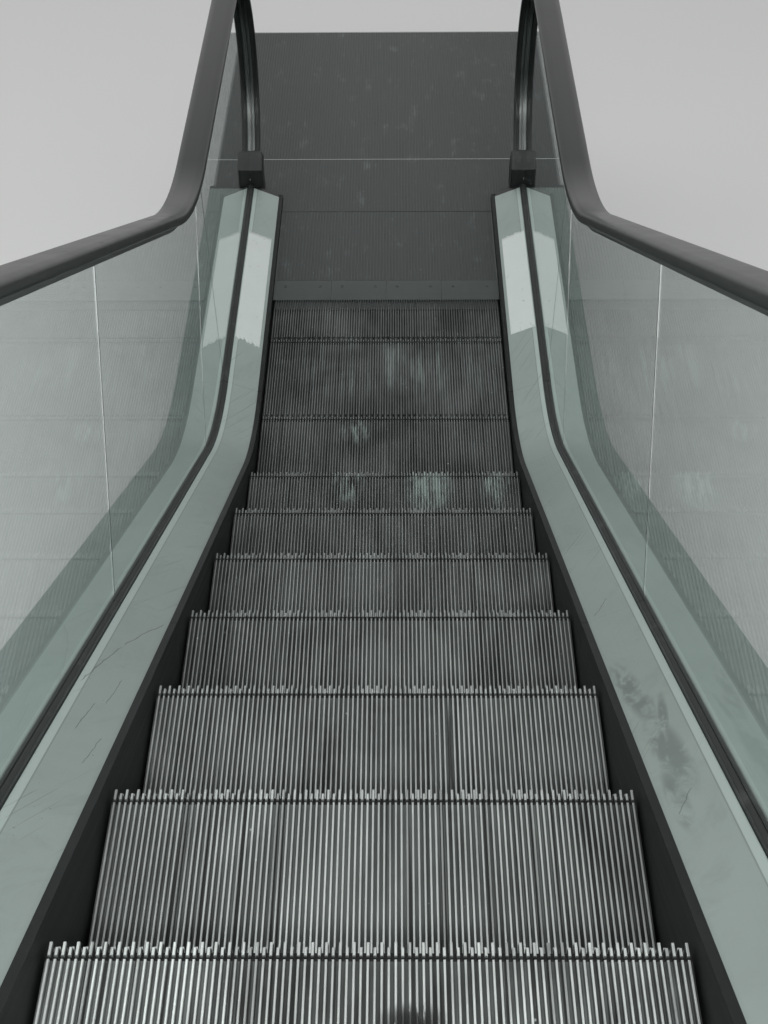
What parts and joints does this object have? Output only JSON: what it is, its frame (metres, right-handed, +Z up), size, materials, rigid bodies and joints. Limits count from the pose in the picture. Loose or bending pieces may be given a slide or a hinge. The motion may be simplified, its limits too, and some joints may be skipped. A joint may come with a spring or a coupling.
{
  "type": "escalator",
  "caption": "Escalator with grooved steps, comb plates, black skirts, sloped inner decks, clear glass balustrades, black handrails and a panelled truss.",
  "frame": {"origin": "middle of the flat underside of the lower bearing angle, where the truss rests on the building", "axes": "+Z up, +Y horizontal up the flight from the lower landing to the upper, +X to the right when going up"},
  "size_m": [1.386, 11.4662, 4.97],
  "materials": {
    "step_aluminium": "die-cast grooved aluminium, worn and dirty",
    "comb_aluminium": "die-cast aluminium, worn bright at the teeth",
    "floor_plate": "dark finely ribbed plate, scuffed",
    "frame_steel": "plain steel edge",
    "skirt_black": "black low-friction coating, scuffed",
    "deck_metal": "pale grey-green satin, smeared and scratched",
    "clamp_black": "dark profile with a rubber gasket",
    "glass": "clear toughened glass with a green edge",
    "guide_steel": "drawn stainless profile",
    "handrail_rubber": "black rubber polished by hands",
    "inlet_plastic": "black moulded plastic",
    "panel_steel": "grey-green satin sheet panels",
    "truss_steel": "grey paint on structural steel"
  },
  "bodies": {
    "root": {"steps_lower_landing": "step_aluminium", "steps_flight_lower": "step_aluminium", "steps_flight_upper": "step_aluminium", "steps_upper_landing": "step_aluminium", "comb_lower": "comb_aluminium", "comb_upper": "comb_aluminium", "comb_plate_lower": "floor_plate", "comb_plate_upper": "floor_plate", "floor_plates_lower": "floor_plate", "floor_plates_upper": "floor_plate", "floor_frame_lower": "frame_steel", "floor_frame_upper": "frame_steel", "skirt_left": "skirt_black", "skirt_right": "skirt_black", "inner_deck_left": "deck_metal", "inner_deck_right": "deck_metal", "glass_clamp_left": "clamp_black", "glass_clamp_right": "clamp_black", "outer_deck_left": "deck_metal", "outer_deck_right": "deck_metal", "glass_left": "glass", "glass_right": "glass", "newel_glass_lower": "glass", "newel_glass_upper": "glass", "handrail_guide_left": "guide_steel", "handrail_guide_right": "guide_steel", "handrail_left": "handrail_rubber", "handrail_right": "handrail_rubber", "handrail_inlets_lower": "inlet_plastic", "handrail_inlets_upper": "inlet_plastic", "side_panels_left": "panel_steel", "side_panels_right": "panel_steel", "underside_panels": "panel_steel", "balustrade_ends_lower": "deck_metal", "balustrade_ends_upper": "deck_metal", "end_wall_lower": "panel_steel", "end_wall_upper": "panel_steel", "bearing_angle_lower": "truss_steel", "bearing_angle_upper": "truss_steel", "roller_tracks_left": "truss_steel", "roller_tracks_right": "truss_steel", "truss_chords": "truss_steel", "truss_frames": "truss_steel"}
  },
  "joints": []
}
